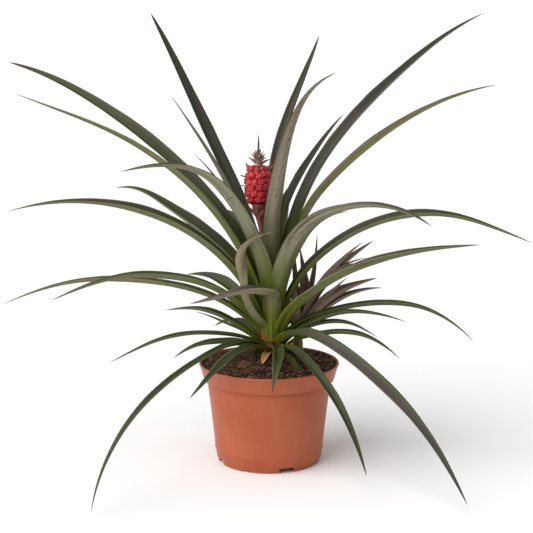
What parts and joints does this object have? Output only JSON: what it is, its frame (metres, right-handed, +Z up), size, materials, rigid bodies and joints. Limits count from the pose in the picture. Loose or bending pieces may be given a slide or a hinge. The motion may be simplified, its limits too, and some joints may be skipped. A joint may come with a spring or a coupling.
{
  "type": "potted pineapple plant",
  "caption": "Potted dwarf pineapple with long arching channelled leaves, a young red fruit with a leafy crown, and an offset, in a tapered nursery pot with a collar.",
  "frame": {"origin": "centre of the plant's box on the surface it stands on, which is within a few millimetres of the centre of the pot's foot", "axes": "+Z up; +X along the plant's widest reach, to the viewer's right; +Y to the plant's back"},
  "size_m": [0.4579, 0.2958, 0.3789],
  "materials": {
    "pot": "matte terracotta-coloured plastic",
    "soil": "damp fibrous potting soil",
    "stem": "pale brown, rough",
    "leaf": "satin, grey-green with a bronze cast and fine lengthwise lines",
    "dry_leaf": "dry, orange-brown",
    "fruit_stalk": "satin, pinkish brown",
    "fruit": "waxy crimson with pink highlights",
    "crown": "dry satin, grey-brown",
    "offset": "satin, bronze-green"
  },
  "bodies": {
    "root": {"pot": "pot", "soil": "soil", "stem": "stem", "fruit_stalk": "fruit_stalk", "fruit": "fruit", "crown": "crown", "offset_plant": "offset", "leaf_01": "leaf", "leaf_02": "leaf", "leaf_03": "leaf", "leaf_04": "leaf", "leaf_05": "leaf", "leaf_06": "leaf", "leaf_07": "leaf", "leaf_08": "leaf", "leaf_09": "dry_leaf", "leaf_10": "leaf", "leaf_11": "leaf", "leaf_12": "leaf", "leaf_13": "leaf", "leaf_14": "leaf", "leaf_15": "leaf", "leaf_16": "leaf", "leaf_17": "leaf", "leaf_18": "leaf", "leaf_19": "leaf", "leaf_20": "leaf", "leaf_21": "leaf", "leaf_22": "leaf", "leaf_23": "leaf", "leaf_24": "leaf", "leaf_25": "leaf", "leaf_26": "leaf", "leaf_27": "leaf", "leaf_28": "leaf", "leaf_29": "leaf", "leaf_30": "leaf", "leaf_31": "leaf", "leaf_32": "leaf", "leaf_33": "leaf", "leaf_34": "leaf", "leaf_35": "leaf", "leaf_36": "leaf", "leaf_37": "leaf", "leaf_38": "leaf", "leaf_39": "leaf", "leaf_40": "leaf", "leaf_41": "leaf", "leaf_42": "leaf", "leaf_43": "leaf", "leaf_44": "leaf", "leaf_45": "leaf", "leaf_46": "leaf"}
  },
  "joints": []
}
